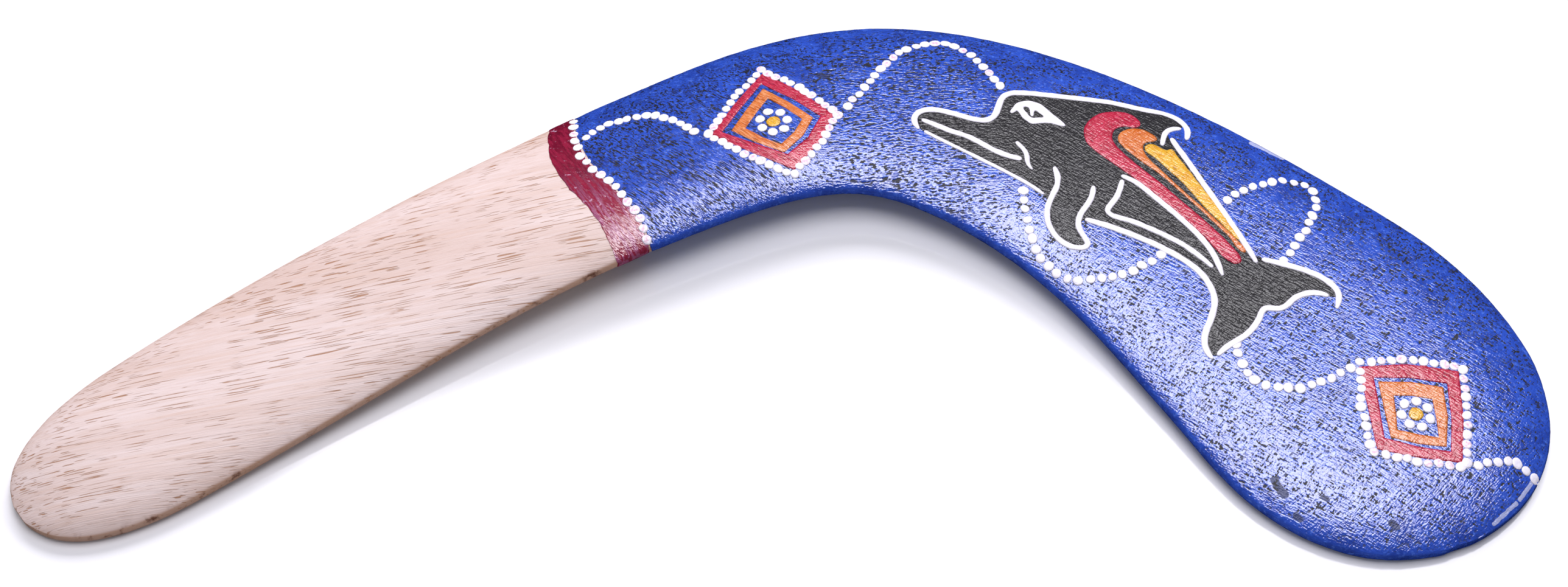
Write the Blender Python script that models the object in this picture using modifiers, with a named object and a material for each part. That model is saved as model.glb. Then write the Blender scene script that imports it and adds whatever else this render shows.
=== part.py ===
"""A painted wooden boomerang, as its carved body and the coats of paint laid on it.

Run with: blender --background --python part.py
Metres, +Z up, crown upwards, the handle at -X and the blade at +X. The origin is at the
middle of the footprint, on the surface that the boomerang lies on.
"""

import math
import random

import bmesh
import bpy
import numpy as np
from mathutils import Vector
from mathutils.bvhtree import BVHTree

MM = 0.001

# The carved body, in millimetres. A station is (x, y, half width) on the middle line of the
# two arms, from the handle's end to the blade's end.
STATIONS = (
    (-196.5, -71.5, 21.0),
    (-142.5, -31.5, 25.0),
    (-84.0, 7.5, 26.0),
    (-26.5, 39.0, 27.5),
    (29.0, 53.5, 31.0),
    (87.5, 28.5, 36.5),
    (128.5, -8.0, 44.0),
    (153.0, -37.5, 46.5),
    (172.0, -80.5, 37.5),
)
HANDLE_TIP = 39.0  # length that the rounding of the handle's end takes
BLADE_TIP = 42.0
TIP_POWER = 2.4  # 2 gives half an ellipse, more gives a fuller end
CROWN = 8.6  # thickness at the middle
RIM = 3.0  # height of the edge
RIM_ROUND = 0.8  # its lower corner
CROWN_POWER = 3.2  # how flat the crown stays before it turns down to the rim
CROWN_SOFTNESS = 0.9
LIFT = 8.5  # how far the elbow's inner edge stands off the table
LIFT_MIDDLE = -15.0  # x at which it stands highest
LIFT_REACH = 165.0  # past this distance either way the underside is flat

# Paint, in millimetres. The films are drawn thicker than real ones, and with a gap under
# each, so that every coat is a solid of its own.
FILM = 0.3
GAP = 0.3
GROUND_BUILD = GAP + FILM  # wood to the top of the ground coat
BUILD_START, BUILD_END = 90.0, 150.0  # the underside makes room for it along this stretch
SEAM = 0.35  # between the red band and the blue ground

# Distance along the middle line at which each edge of the red band lies, at five places
# across it from the inner edge of the boomerang to the outer one.
BAND_LEFT = (167.7, 168.6, 167.0, 167.2, 172.6)
BAND_RIGHT = (177.5, 178.3, 175.7, 175.6, 179.8)
BAND_MIDDLES = (168.0, 177.5)  # ring numbers that become the band's two wavy edges
STRAIGHT_RINGS = (150.0, 205.0)  # rings outside this stretch run straight across

RING_STEP = 9.0
TIP_RINGS = 6
TOP_COLUMNS = 12
UNDER_COLUMNS = (-0.5, 0.0, 0.5)
CELL = 8.0  # wide films are divided this finely, to follow the crown
STROKE_STEP = 1.9
DOT_RADIUS = 1.25
NECK = 0.35  # width of the join between two dots, as a share of a dot

COLOURS = {
    "bare_wood": ((0.62, 0.45, 0.36), 0.55),
    "blue_paint": ((0.03, 0.06, 0.42), 0.35),
    "crimson_paint": ((0.25, 0.01, 0.03), 0.4),
    "red_paint": ((0.55, 0.03, 0.06), 0.4),
    "orange_paint": ((0.75, 0.2, 0.03), 0.4),
    "yellow_paint": ((0.85, 0.55, 0.03), 0.4),
    "black_paint": ((0.015, 0.013, 0.02), 0.35),
    "white_paint": ((0.85, 0.82, 0.85), 0.35),
}

# Painted lines: control points in millimetres, and the width at both ends as a share of the
# full width.
STROKES = {
    "dolphin_head_line": (
        ((36.6, 41.9), (35.4, 44.2), (36.0, 47.2), (39.0, 48.9), (43.5, 48.6), (49.0, 46.9),
         (54.0, 45.7), (57.4, 47.0), (59.0, 51.0), (60.6, 54.9), (64.5, 56.4), (72.0, 56.1),
         (81.0, 55.4), (91.0, 54.5), (98.0, 53.0), (105.0, 51.9), (108.8, 50.2), (111.2, 47.2),
         (111.5, 44.6), (110.8, 42.1)),
        1.3, 0.5, 0.6),
    "dolphin_fin_line": (((109.6, 46.2), (107.0, 45.8), (104.9, 43.9), (103.8, 39.6)), 1.2, 0.7, 0.5),
    "dolphin_back_line": (
        ((106.6, 42.2), (108.2, 38.6), (110.8, 33.4), (113.7, 27.2), (117.0, 20.6),
         (120.4, 13.6), (122.8, 8.6), (124.9, 3.9), (126.2, 0.8)),
        1.2, 0.8, 0.6),
    "dolphin_jaw_line": (
        ((38.2, 41.2), (42.0, 38.8), (47.0, 35.9), (54.0, 31.9), (61.0, 27.8), (66.0, 24.6),
         (70.0, 21.4)),
        0.6, 0.9, 0.8),
    "dolphin_mouth_line": (
        ((37.6, 45.2), (41.5, 43.4), (46.5, 41.1), (51.0, 39.4), (56.0, 36.1), (60.5, 33.9),
         (64.4, 32.9)),
        1.2, 0.8, 0.9),
    "dolphin_cheek_line": (((63.4, 38.6), (65.2, 36.4), (66.2, 33.8), (66.0, 31.4), (67.3, 29.5)), 0.9, 0.6, 0.5),
    "dolphin_flipper_line": (
        ((73.4, 30.6), (74.2, 27.2), (73.5, 23.4), (71.6, 19.4), (70.6, 15.2), (71.2, 11.0),
         (73.4, 7.4), (76.4, 5.2), (79.4, 4.6), (81.4, 5.4), (80.8, 7.4), (79.3, 10.0),
         (79.0, 13.4), (80.8, 17.0), (82.9, 20.4), (83.8, 24.6)),
        1.1, 0.8, 0.7),
    "dolphin_belly_line": (
        ((81.0, 13.6), (85.0, 12.3), (90.0, 10.4), (95.0, 8.2), (99.0, 6.2), (103.5, 3.5),
         (108.0, 0.2), (111.2, -3.2), (113.3, -7.4), (113.9, -12.0), (112.4, -17.2),
         (110.5, -21.8), (110.3, -25.8), (112.0, -28.9)),
        1.3, 0.6, 0.6),
    "dolphin_fluke_line": (
        ((113.4, -27.9), (116.2, -25.3), (120.4, -22.6), (123.8, -19.3), (125.8, -15.6),
         (127.0, -13.4), (130.4, -13.8), (133.2, -12.6), (135.4, -10.2), (138.4, -8.9),
         (141.6, -8.6), (144.4, -9.5)),
        1.2, 0.7, 0.7),
    "dolphin_tail_line": (
        ((127.8, 1.9), (132.0, 0.8), (138.0, -1.1), (142.8, -3.4), (146.0, -6.2), (147.3, -9.0),
         (146.9, -11.4), (146.2, -13.4)),
        1.3, 0.7, 0.4),
    "dolphin_panel_line": (
        ((91.8, 26.8), (91.0, 23.8), (89.2, 20.0), (86.9, 15.9), (92.5, 13.7), (100.0, 10.2),
         (106.5, 6.4), (111.2, 2.4), (114.2, -0.9)),
        1.1, 0.8, 0.5),
    "dolphin_side_line": (
        ((91.8, 28.4), (95.4, 26.4), (98.4, 23.6), (103.4, 18.4), (108.2, 13.2), (112.2, 8.0),
         (115.0, 2.8), (116.7, -3.4)),
        1.2, 0.6, 0.4),
}

# Painted shapes: closed outlines in millimetres, with a second outline where there is a hole.
SHAPES = {
    "dolphin_body": (
        ((36.3, 44.0), (37.5, 47.3), (42.0, 48.2), (48.0, 46.6), (54.0, 45.3), (57.6, 46.7),
         (59.4, 50.5), (61.2, 54.8), (65.0, 55.9), (75.0, 55.4), (90.0, 54.1), (97.5, 52.7),
         (105.0, 51.2), (108.4, 49.8), (110.5, 47.4), (107.5, 45.9), (105.3, 43.6),
         (107.6, 38.8), (113.0, 28.0), (120.0, 13.8), (124.7, 4.2), (127.5, 1.7), (132.0, 0.6),
         (138.0, -1.4), (143.0, -4.0), (146.0, -6.7), (146.9, -9.6), (144.5, -9.4),
         (141.3, -8.5), (138.0, -8.9), (135.2, -10.6), (132.4, -13.1), (128.8, -13.7),
         (126.4, -13.0), (125.4, -16.0), (123.4, -19.5), (120.3, -22.3), (116.2, -25.0),
         (112.8, -28.2), (110.6, -25.6), (110.8, -21.8), (112.6, -17.0), (114.0, -12.0),
         (113.3, -7.0), (111.0, -3.0), (107.8, 0.4), (103.5, 3.6), (99.0, 6.2), (95.0, 8.3),
         (90.0, 10.5), (85.0, 12.4), (80.2, 13.6), (79.2, 10.6), (80.6, 8.0), (81.2, 5.9),
         (79.4, 4.8), (76.2, 5.4), (73.3, 7.8), (71.2, 11.2), (70.6, 15.2), (71.4, 19.4),
         (67.0, 23.8), (60.0, 28.4), (53.0, 32.5), (46.0, 36.5), (41.0, 39.4), (37.6, 41.6)),
        None, "black_paint", 1),
    "dolphin_eye": (
        ((62.3, 48.8), (62.7, 50.2), (63.6, 51.6), (64.8, 52.8), (66.7, 53.4), (69.4, 53.1),
         (71.5, 51.8), (73.1, 49.9), (74.9, 48.0), (76.4, 46.3), (77.3, 44.9), (75.7, 45.1),
         (73.8, 45.6), (71.5, 45.8), (69.6, 45.5), (68.0, 45.3), (66.6, 46.3), (65.3, 47.7),
         (64.2, 49.9), (63.3, 49.2)),
        ((65.7, 51.1), (67.5, 51.1), (67.8, 49.0), (68.2, 47.9), (68.6, 48.6), (69.1, 50.2),
         (70.4, 49.1), (71.6, 47.8), (69.8, 47.5), (68.0, 47.3), (66.8, 49.0)),
        "white_paint", 3),
    "dolphin_red_stripe": (
        ((98.2, 46.4), (97.6, 48.6), (95.2, 50.6), (91.5, 50.9), (88.0, 50.2), (85.2, 48.3),
         (83.0, 45.4), (82.4, 42.0), (83.2, 39.0), (86.0, 35.9), (90.0, 32.4), (95.0, 28.0),
         (100.0, 23.4), (105.0, 18.0), (110.0, 12.4), (114.2, 7.2), (117.2, 2.8), (120.2, 0.4),
         (122.2, 1.2), (120.2, 5.2), (116.8, 9.8), (112.7, 14.6), (107.7, 20.0), (103.7, 24.5),
         (99.7, 28.6), (95.7, 32.6), (92.8, 35.9), (90.4, 39.2), (89.8, 42.0), (91.2, 44.9),
         (94.0, 45.9), (96.4, 45.5)),
        None, "red_paint", 2),
    "dolphin_orange_stripe": (
        ((102.5, 41.2), (101.4, 43.0), (99.0, 44.6), (96.0, 44.9), (93.5, 44.0), (91.9, 42.0),
         (92.0, 39.9), (94.0, 37.3), (97.6, 33.6), (102.0, 29.8), (106.9, 24.4), (111.8, 18.7),
         (116.3, 13.2), (119.9, 8.8), (123.6, 3.6), (121.9, 7.2), (118.9, 11.2), (115.0, 16.0),
         (111.0, 20.6), (107.0, 25.1), (103.6, 29.4), (100.6, 33.0), (98.5, 36.2), (98.1, 38.8),
         (99.4, 40.5)),
        None, "orange_paint", 2),
    "dolphin_yellow_stripe": (
        ((98.9, 37.6), (99.7, 39.3), (101.4, 39.4), (103.4, 38.2), (105.0, 37.5), (106.2, 38.1),
         (107.2, 36.2), (109.2, 32.8), (111.6, 28.4), (114.2, 23.8), (117.1, 18.9),
         (119.6, 14.4), (121.6, 10.4), (122.6, 7.8), (120.5, 10.0), (117.5, 13.9),
         (114.2, 18.2), (111.6, 22.0), (109.4, 25.4), (106.9, 28.6), (104.0, 32.0),
         (101.4, 35.2)),
        None, "yellow_paint", 2),
    "elbow_diamond_red_frame": (
        ((-6.4, 62.6), (4.0, 54.9), (13.2, 46.2), (9.2, 36.6), (2.4, 27.8), (-9.0, 33.0),
         (-20.2, 39.6), (-13.8, 51.0)),
        ((-6.8, 58.6), (2.0, 52.4), (9.8, 45.8), (6.4, 38.2), (0.6, 32.2), (-8.6, 36.0),
         (-17.6, 40.4), (-12.4, 49.4)),
        "red_paint", 1),
    "elbow_diamond_orange_frame": (
        ((-6.2, 56.2), (1.0, 50.8), (7.4, 45.2), (4.6, 38.8), (-0.4, 33.2), (-7.8, 36.6),
         (-14.6, 41.0), (-10.6, 48.6)),
        ((-4.9, 52.8), (0.4, 48.8), (4.8, 44.7), (2.6, 40.0), (-1.2, 35.6), (-6.4, 38.2),
         (-11.2, 41.6), (-8.4, 47.0)),
        "orange_paint", 1),
    "blade_diamond_red_frame": (
        ((150.2, -31.6), (163.0, -30.8), (176.0, -32.6), (175.4, -46.0), (173.6, -59.4),
         (163.0, -58.2), (152.2, -55.8), (151.2, -43.5)),
        ((153.4, -34.6), (163.0, -34.6), (172.8, -36.2), (172.6, -46.5), (171.3, -56.6),
         (162.8, -55.4), (154.2, -52.8), (153.8, -43.5)),
        "red_paint", 1),
    "blade_diamond_orange_frame": (
        ((154.7, -36.1), (162.8, -36.2), (171.2, -37.6), (171.3, -46.4), (170.0, -54.9),
         (163.0, -54.2), (156.1, -52.4), (155.4, -44.0)),
        ((158.0, -40.0), (163.2, -40.0), (168.2, -41.0), (168.6, -47.0), (168.5, -52.6),
         (163.0, -51.8), (157.7, -50.4), (157.9, -45.0)),
        "orange_paint", 1),
}
SHARP_SHAPES = ("diamond",)  # outlines whose corners stay corners

# Rows of dots: the path's control points in millimetres, how many dots, and whether it closes.
ROWS = {
    "band_dots": (
        ((-59.2, 50.0), (-58.5, 43.2), (-57.0, 37.2), (-53.6, 30.4), (-48.2, 24.8),
         (-43.0, 18.2), (-39.2, 11.6), (-37.1, 5.8)),
        17, False),
    "wave_dots": (
        ((-54.9, 41.4), (-50.4, 45.4), (-42.5, 48.1), (-35.0, 47.7), (-29.2, 44.4),
         (-24.9, 41.2)),
        14, False),
    "elbow_diamond_dots": (
        ((-6.8, 64.2), (4.2, 56.4), (14.3, 46.6), (9.8, 36.6), (2.0, 26.2), (-9.4, 31.4),
         (-21.0, 39.4), (-15.0, 52.4)),
        42, True),
    "arch_dots": (
        ((17.2, 49.4), (22.0, 56.8), (28.0, 65.6), (34.6, 72.6), (44.0, 75.6), (51.2, 71.8),
         (56.4, 64.8), (59.8, 58.6)),
        23, False),
    "belly_loop_dots": (
        ((64.4, 22.6), (65.3, 13.3), (67.4, 4.4), (73.0, -2.8), (81.0, -4.7), (90.0, -3.4),
         (96.6, 0.0), (100.6, 2.6)),
        20, False),
    "back_loop_dots": (
        ((120.1, 21.3), (127.4, 26.0), (136.4, 29.0), (143.6, 27.0), (144.6, 21.4),
         (141.6, 13.8), (137.0, 6.4), (133.6, 1.8)),
        19, False),
    "tail_loop_dots": (
        ((118.6, -24.6), (119.8, -31.2), (124.0, -36.2), (132.4, -37.9), (140.6, -35.6),
         (147.9, -32.0)),
        14, False),
    "blade_diamond_dots": (
        ((150.7, -30.0), (163.8, -29.2), (177.4, -31.4), (176.6, -46.0), (174.8, -60.6),
         (163.0, -59.6), (150.6, -56.6), (149.4, -43.0)),
        39, True),
    "rim_dots": (((178.0, -60.3), (183.2, -58.7), (188.4, -59.0), (192.8, -61.9)), 7, False),
}
DRIFT = 0.22  # how far a dot strays from its even place
ROW_END = 0.8  # a row ends this share of a step, halved, past its last dot

# The two rosettes: middle, and the turn of the first petal in degrees.
ROSETTES = {
    "elbow_rosette": ((-3.3, 43.9), 10.0),
    "blade_rosette": ((163.3, -45.6), 30.0),
}
PETALS = 7
PETAL_RADIUS = 1.3
PETAL_RING = 3.8
CENTRE_RADIUS = 1.8
DOME = 0.15  # rise of a dot's middle over its edge


def clear_scene():
    for obj in list(bpy.data.objects):
        bpy.data.objects.remove(obj, do_unlink=True)
    for name in list(bpy.data.collections.keys()):
        bpy.data.collections.remove(bpy.data.collections[name])


def spline_through(values):
    """A smooth curve through values at 0, 1, 2 and so on, as a function."""
    values = np.asarray(values, float)
    count = len(values)
    system = np.eye(count)
    bends = np.zeros(count)
    for i in range(1, count - 1):
        system[i, i - 1 : i + 2] = (1.0, 4.0, 1.0)
        bends[i] = 6 * (values[i - 1] - 2 * values[i] + values[i + 1])
    bends = np.linalg.solve(system, bends)

    def at(t):
        i = np.clip(np.floor(t).astype(int), 0, count - 2)
        a = t - i
        b = 1 - a
        bow = ((b**3 - b) * bends[i] + (a**3 - a) * bends[i + 1]) / 6
        return values[i] * b + values[i + 1] * a + bow

    return at


def even_path(points, count, closed=False):
    """Points at equal distances along a path: a smooth curve, or straight legs if it closes."""
    if closed:
        x, y = np.array((*points, points[0])).T
    else:
        t = np.linspace(0, len(points) - 1, 40 * len(points))
        x, y = (spline_through(axis)(t) for axis in zip(*points))
    run = np.concatenate([[0.0], np.cumsum(np.hypot(np.diff(x), np.diff(y)))])
    want = np.linspace(0, run[-1], count, endpoint=not closed)
    return np.stack([np.interp(want, run, x), np.interp(want, run, y)], axis=1)


class Body:
    """The carved shape, as a surface over distance along the arms and place across them."""

    def __init__(self):
        self.x, self.y, self.half = (spline_through(axis) for axis in zip(*STATIONS))
        self.t = np.linspace(0, len(STATIONS) - 1, 1600)
        steps = np.hypot(np.diff(self.x(self.t)), np.diff(self.y(self.t)))
        self.run = np.concatenate([[0.0], np.cumsum(steps)])
        self.length = self.run[-1]
        self.band_left = spline_through(BAND_LEFT)
        self.band_right = spline_through(BAND_RIGHT)

    def distance(self, ring, across):
        """Rings run straight across, except near the band, where they follow its edges."""
        place = (across + 1) * (len(BAND_LEFT) - 1) / 2
        start, end = STRAIGHT_RINGS
        if not start < ring < end:
            return ring
        edges = (start, self.band_left(place), self.band_right(place), end)
        return np.interp(ring, (start, *BAND_MIDDLES, end), edges)

    def plan(self, distance, across):
        """x, y, and how near the end this is: 0 along the arms, 1 at a tip."""
        t = np.interp(distance, self.run, self.t)
        step = 1e-3
        dx = self.x(t + step) - self.x(t - step)
        dy = self.y(t + step) - self.y(t - step)
        size = np.hypot(dx, dy)
        near = max(1 - distance / HANDLE_TIP, 1 - (self.length - distance) / BLADE_TIP, 0.0)
        half = self.half(t) * (1 - near**TIP_POWER) ** (1 / TIP_POWER)
        x = self.x(t) - dy / size * half * across
        y = self.y(t) + dx / size * half * across
        return x, y, near, half

    def underside(self, x, distance, across):
        reach = min(abs(x - LIFT_MIDDLE) / LIFT_REACH, 1.0)
        lift = LIFT * math.cos(math.pi / 2 * reach) ** 2 * (1 - across) / 2
        share = min(max((distance - BUILD_START) / (BUILD_END - BUILD_START), 0.0), 1.0)
        return lift + GROUND_BUILD * share * share * (3 - 2 * share)

    def point(self, ring, across, part):
        """A point of the wood's surface; part is top, side or under."""
        distance = self.distance(ring, across)
        x, y, near, half = self.plan(distance, across)
        if part == "under" and abs(across) == 1:
            inset = across * (1 - RIM_ROUND / max(half, 2 * RIM_ROUND))
            x, y, near, half = self.plan(distance, inset)
        z = self.underside(x, distance, across)
        if part == "side":
            z += RIM_ROUND
        if part == "top":
            crown = (1 - abs(across) ** CROWN_POWER) * (1 - near**CROWN_POWER)
            z += RIM + (CROWN - RIM) * crown**CROWN_SOFTNESS
        return Vector((x, y, z)) * MM

    def ring(self, ring):
        """One closed section: over the crown from the outer edge, and back underneath."""
        turns = np.linspace(math.pi / 2, -math.pi / 2, TOP_COLUMNS + 1)
        section = [self.point(ring, math.sin(turn), "top") for turn in turns]
        section.append(self.point(ring, -1.0, "side"))
        for across in (-1.0, *UNDER_COLUMNS, 1.0):
            section.append(self.point(ring, across, "under"))
        section.append(self.point(ring, 1.0, "side"))
        return section

    def ring_numbers(self):
        """Where the sections lie, closer together at the rounded ends."""
        turns = [(i + 0.35) / TIP_RINGS * math.pi / 2 for i in range(TIP_RINGS)]
        handle = [HANDLE_TIP * (1 - math.cos(turn)) for turn in turns]
        blade = [self.length - BLADE_TIP * (1 - math.cos(turn)) for turn in reversed(turns)]
        start, end = STRAIGHT_RINGS
        left, right = BAND_MIDDLES
        arm = spread(HANDLE_TIP, start)
        band = [(start + left) / 2, left, (left + right) / 2, right, right + SEAM, (right + end) / 2]
        return handle + arm + band + spread(end, self.length - BLADE_TIP) + blade


def spread(start, end):
    """Even places from start to end, about a ring's step apart."""
    return list(np.linspace(start, end, round((end - start) / RING_STEP) + 1))


def material(slot):
    found = bpy.data.materials.get(slot)
    if found:
        return found
    colour, roughness = COLOURS[slot]
    found = bpy.data.materials.new(slot)
    found.use_nodes = True
    shader = found.node_tree.nodes["Principled BSDF"]
    shader.inputs["Base Color"].default_value = (*colour, 1.0)
    shader.inputs["Roughness"].default_value = roughness
    found.diffuse_color = (*colour, 1.0)
    return found


def object_from(bm, name, slot, smooth=False):
    mesh = bpy.data.meshes.new(name)
    bm.to_mesh(mesh)
    bm.free()
    if smooth:
        mesh.shade_smooth()
    mesh.materials.append(material(slot))
    obj = bpy.data.objects.new(name, mesh)
    bpy.data.collections["boomerang"].objects.link(obj)
    return obj


def loft(sections, cap_start, cap_end):
    """A skin over the sections, with the ends closed where asked."""
    bm = bmesh.new()
    rings = [[bm.verts.new(point) for point in section] for section in sections]
    for one, two in zip(rings, rings[1:]):
        for i in range(len(one)):
            j = (i + 1) % len(one)
            bm.faces.new((one[i], one[j], two[j], two[i]))
    if cap_start:
        bm.faces.new(reversed(rings[0]))
    if cap_end:
        bm.faces.new(rings[-1])
    bmesh.ops.recalc_face_normals(bm, faces=bm.faces)
    return bm


def coat_over(name, sections, cap_end, slot):
    """A film that goes right round the wood: its skin, moved out by the gap, then thickened."""
    coat = object_from(loft(sections, False, cap_end), name, slot, smooth=True)
    stand_off = coat.modifiers.new("stand off", "DISPLACE")
    stand_off.strength = GAP * MM
    stand_off.mid_level = 0.0
    film = coat.modifiers.new("film", "SOLIDIFY")
    film.thickness = FILM * MM
    film.offset = 1.0
    return coat


def painted_surface(sections):
    """The top of the ground coat and of the band, as one skin to be sought from above."""
    bm = loft(sections, True, True)
    bm.normal_update()
    for vert in bm.verts:
        vert.co += vert.normal * GROUND_BUILD * MM
    found = BVHTree.FromBMesh(bm)
    bm.free()
    return found


def divide(bm):
    """Cuts a wide flat film along a grid, so that it can follow the crown."""
    for axis in (0, 1):
        low = min(vert.co[axis] for vert in bm.verts) / MM
        high = max(vert.co[axis] for vert in bm.verts) / MM
        normal = Vector((0.0, 0.0, 0.0))
        normal[axis] = 1.0
        for cut in range(math.ceil(low / CELL), math.ceil(high / CELL)):
            everything = bm.verts[:] + bm.edges[:] + bm.faces[:]
            bmesh.ops.bisect_plane(bm, geom=everything, dist=1e-6, plane_co=normal * cut * CELL * MM, plane_no=normal)
    bmesh.ops.triangulate(bm, faces=bm.faces)


def lay_on(bm, skin, level, name, slot):
    """Drops a flat film on the paint below it and gives it its thickness."""
    rest = (GAP + (level - 1) * (GAP + FILM)) * MM
    down = Vector((0.0, 0.0, -1.0))
    for vert in bm.verts:
        above = Vector((vert.co.x, vert.co.y, 1.0))
        vert.co.z = skin.ray_cast(above, down)[0].z + rest
    rise = bm.verts.layers.float.get("rise")
    made = bmesh.ops.extrude_face_region(bm, geom=bm.faces[:], use_keep_orig=True)
    for vert in (item for item in made["geom"] if isinstance(item, bmesh.types.BMVert)):
        vert.co.z += FILM * MM + (vert[rise] if rise else 0.0)
    bmesh.ops.recalc_face_normals(bm, faces=bm.faces)
    return object_from(bm, name, slot)


def shape(name, outlines, slot, level, skin):
    """A filled outline, with a hole where a second outline is given."""
    curve = bpy.data.curves.new(name, "CURVE")
    curve.dimensions = "2D"
    curve.fill_mode = "BOTH"
    curve.resolution_u = 2
    sharp = any(word in name for word in SHARP_SHAPES)
    for points in filter(None, outlines):
        spline = curve.splines.new("BEZIER")
        spline.use_cyclic_u = True
        spline.bezier_points.add(len(points) - 1)
        for knot, (x, y) in zip(spline.bezier_points, points):
            knot.co = (x * MM, y * MM, 0.0)
            knot.handle_left_type = knot.handle_right_type = "VECTOR" if sharp else "AUTO"
    guide = bpy.data.objects.new(name + "_outline", curve)
    bpy.data.collections["boomerang"].objects.link(guide)
    bpy.context.view_layer.update()
    filled = bpy.data.meshes.new_from_object(guide.evaluated_get(bpy.context.evaluated_depsgraph_get()))
    bpy.data.objects.remove(guide, do_unlink=True)
    bm = bmesh.new()
    bm.from_mesh(filled)
    bmesh.ops.remove_doubles(bm, verts=bm.verts, dist=1e-6)
    bmesh.ops.dissolve_limit(bm, angle_limit=math.radians(1), verts=[], edges=bm.edges[:])
    divide(bm)
    return lay_on(bm, skin, level, name, slot)


def ribbon(centres, halves, closed=False):
    """A flat strip along a path: one short edge, extruded from place to place."""
    ahead = np.roll(centres, -1, axis=0) - np.roll(centres, 1, axis=0)
    if not closed:
        ahead[0] = centres[1] - centres[0]
        ahead[-1] = centres[-1] - centres[-2]
    ahead /= np.linalg.norm(ahead, axis=1)[:, None]
    side = np.stack([-ahead[:, 1], ahead[:, 0]], axis=1) * np.asarray(halves)[:, None]
    bm = bmesh.new()
    bm.verts.layers.float.new("rise")
    rungs = []
    for centre, out in zip(centres, side):
        left, right = centre + out, centre - out
        rungs.append([bm.verts.new((left[0] * MM, left[1] * MM, 0.0)),
                      bm.verts.new((right[0] * MM, right[1] * MM, 0.0))])
    pairs = list(zip(rungs, rungs[1:]))
    if closed:
        pairs.append((rungs[-1], rungs[0]))
    for one, two in pairs:
        bm.faces.new((one[0], one[1], two[1], two[0]))
    return bm, rungs


def stroke(name, points, width, start, end, skin):
    """A painted line that narrows at its ends."""
    run = np.hypot(*np.diff(np.array(points), axis=0).T).sum()
    count = max(round(run / STROKE_STEP), 4) + 1
    centres = even_path(points, count)
    halves = np.full(count, width / 2)
    halves[[0, -1]] *= (start, end)
    halves[[1, -2]] *= ((1 + start) / 2, (1 + end) / 2)
    bm, _ = ribbon(centres, halves)
    return lay_on(bm, skin, 3, name, "white_paint")


def row(name, points, count, closed, skin):
    """A row of dots that just run into each other; the middle of each is domed."""
    chance = random.Random(name)
    centres = even_path(points, count, closed)
    centres += np.array([[chance.uniform(-DRIFT, DRIFT) for _ in "xy"] for _ in centres])
    before = centres[-1] if closed else centres[0] + ROW_END * (centres[0] - centres[1])
    last = centres[0] if closed else centres[-1] + ROW_END * (centres[-1] - centres[-2])
    places = [] if closed else [(before + centres[0]) / 2]
    halves = [] if closed else [NECK * DOT_RADIUS]
    wide = []
    for centre, after in zip(centres, [*centres[1:], last]):
        ahead = (after - before) / np.linalg.norm(after - before) * DOT_RADIUS / 2
        wide.append(len(places))
        places += [centre - ahead, centre + ahead, (centre + after) / 2]
        halves += [DOT_RADIUS * math.cos(math.pi / 6)] * 2 + [NECK * DOT_RADIUS]
        before = centre
    bm, rungs = ribbon(np.array(places), halves, closed)
    rise = bm.verts.layers.float["rise"]
    for first in wide:
        middle = bm.faces.get((*rungs[first], *reversed(rungs[first + 1])))
        poked = bmesh.ops.poke(bm, faces=[middle])
        poked["verts"][0][rise] = DOME * MM
    return lay_on(bm, skin, 2, name, "white_paint")


def dot(name, centre, radius, slot, skin):
    bm = bmesh.new()
    rise = bm.verts.layers.float.new("rise")
    made = bmesh.ops.create_circle(bm, cap_ends=True, cap_tris=True, segments=8, radius=radius * MM)
    middle = min(made["verts"], key=lambda vert: vert.co.length)
    middle[rise] = DOME * MM
    bmesh.ops.translate(bm, verts=bm.verts, vec=(centre[0] * MM, centre[1] * MM, 0.0))
    return lay_on(bm, skin, 2, name, slot)


def rosette(name, centre, turn, skin):
    """A yellow dot in a ring of white ones."""
    chance = random.Random(name)
    dot(name + "_centre", centre, CENTRE_RADIUS, "yellow_paint", skin)
    for i in range(PETALS):
        angle = math.radians(turn + i * 360 / PETALS)
        reach = PETAL_RING + chance.uniform(-DRIFT, DRIFT)
        place = (centre[0] + reach * math.cos(angle), centre[1] + reach * math.sin(angle))
        dot(f"{name}_petal_{i + 1}", place, PETAL_RADIUS, "white_paint", skin)


def main():
    clear_scene()
    bpy.context.scene.collection.children.link(bpy.data.collections.new("boomerang"))
    body = Body()
    numbers = body.ring_numbers()
    sections = {number: body.ring(number) for number in numbers}
    left, right = BAND_MIDDLES
    painted = [sections[number] for number in numbers if number >= right + SEAM]
    banded = [sections[number] for number in numbers if left <= number <= right]
    object_from(loft(list(sections.values()), True, True), "wood_body", "bare_wood", smooth=True)
    coat_over("blue_ground_coat", painted, True, "blue_paint")
    coat_over("crimson_band", banded, False, "crimson_paint")
    skin = painted_surface(list(sections.values()))
    for name, (outline, hole, slot, level) in SHAPES.items():
        shape(name, (outline, hole), slot, level, skin)
    for name, (points, width, start, end) in STROKES.items():
        stroke(name, points, width, start, end, skin)
    for name, (points, count, closed) in ROWS.items():
        row(name, points, count, closed, skin)
    for name, (centre, turn) in ROSETTES.items():
        rosette(name, centre, turn, skin)


main()
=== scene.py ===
# A hand-painted wooden boomerang: bare carved wood, a blue ground, a crimson band, and the
# dolphin, diamonds and dots that are painted on the blue.
# Each painted piece is cut from its CAD film, smoothed, and laid on the brushed ground again.

import math
import random

import bmesh
import bpy
from mathutils import Matrix, Vector, noise
from mathutils.bvhtree import BVHTree
from mathutils.kdtree import KDTree


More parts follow.
